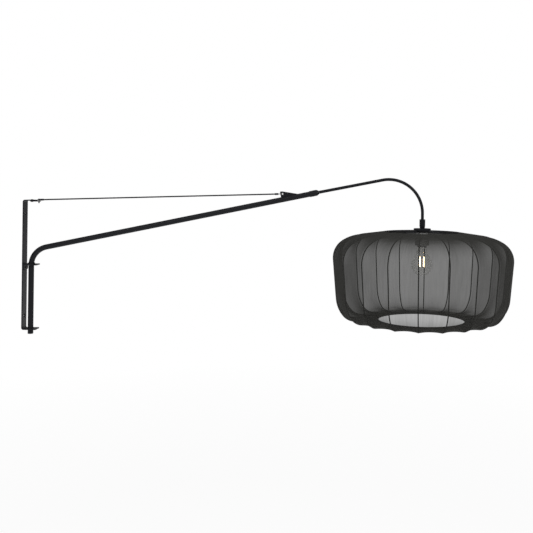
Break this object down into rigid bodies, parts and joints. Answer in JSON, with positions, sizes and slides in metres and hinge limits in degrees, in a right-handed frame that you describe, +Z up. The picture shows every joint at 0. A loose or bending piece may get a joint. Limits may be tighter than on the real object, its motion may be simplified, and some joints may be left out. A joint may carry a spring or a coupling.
{
  "type": "wall sconce",
  "caption": "Wall sconce: a swinging bent-tube arm held by a wall strip and a stay wire, with a gooseneck that hangs a ribbed, gauze-covered drum shade with a clear bulb inside",
  "frame": {"origin": "on the wall plane, midway between the two screw holes of the wall strip", "axes": "+X away from the wall along the arm at rest, +Z up, +Y completes a right-handed frame"},
  "size_m": [1.3629, 0.4998, 0.4477],
  "materials": {
    "black_paint": "satin black powder coat",
    "screw_steel": "blackened steel",
    "stay_steel": "dark steel wire",
    "black_plastic": "moulded, matt",
    "holder_metal": "satin nickel plate",
    "brass": "plain brass",
    "flex_sheath": "round two-core sheath",
    "lamp_cap_metal": "rolled thread",
    "clear_glass": "clear",
    "filament_glow": "phosphor-coated filament, lit",
    "support_metal": "thin lead wire",
    "gauze": "see-through stretched gauze",
    "hem_tape": "folded cloth edge"
  },
  "bodies": {
    "bracket": {"wall_strip": "black_paint", "middle_tab": "black_paint", "middle_tab_rivet": "black_paint", "link_rivet": "black_paint", "middle_bush": "black_plastic", "bottom_bush": "black_plastic"},
    "arm": {"arm_coupler": "black_paint", "arm_tube": "black_paint", "bottom_hem": "hem_tape", "bottom_ring": "black_paint", "bulb_cap": "lamp_cap_metal", "bulb_filaments": "filament_glow", "bulb_glass": "clear_glass", "bulb_stem": "clear_glass", "cable_inlet_plug": "black_plastic", "coupler_screw": "screw_steel", "filament_supports": "support_metal", "gusset_fin": "black_paint", "holder_body": "holder_metal", "holder_cap": "holder_metal", "holder_contacts": "brass", "hook_pin": "black_paint", "inner_flex": "flex_sheath", "lower_stay_loop": "stay_steel", "neck_ferrule": "black_paint", "neck_tube": "black_paint", "rib_01": "black_paint", "rib_02": "black_paint", "rib_03": "black_paint", "rib_04": "black_paint", "rib_05": "black_paint", "rib_06": "black_paint", "rib_07": "black_paint", "rib_08": "black_paint", "rib_09": "black_paint", "rib_10": "black_paint", "rib_11": "black_paint", "rib_12": "black_paint", "rib_13": "black_paint", "rib_14": "black_paint", "rib_15": "black_paint", "rib_16": "black_paint", "rib_17": "black_paint", "rib_18": "black_paint", "rib_19": "black_paint", "rib_20": "black_paint", "screw_shell": "brass", "shade_cover": "gauze", "shade_disc": "black_paint", "shade_spider": "black_paint", "stay_wire": "stay_steel", "stop_collar": "black_paint", "swivel_link": "black_paint", "threaded_nipple": "screw_steel", "top_hem": "hem_tape", "top_ring": "black_paint", "upper_stay_eye": "stay_steel"}
  },
  "joints": [
    {"name": "arm_swing", "type": "hinge", "parent": "bracket", "child": "arm", "pos_m": [0.0205, 0, 0], "axis": [0, 0, 1], "range_deg": [-75, 75]}
  ]
}
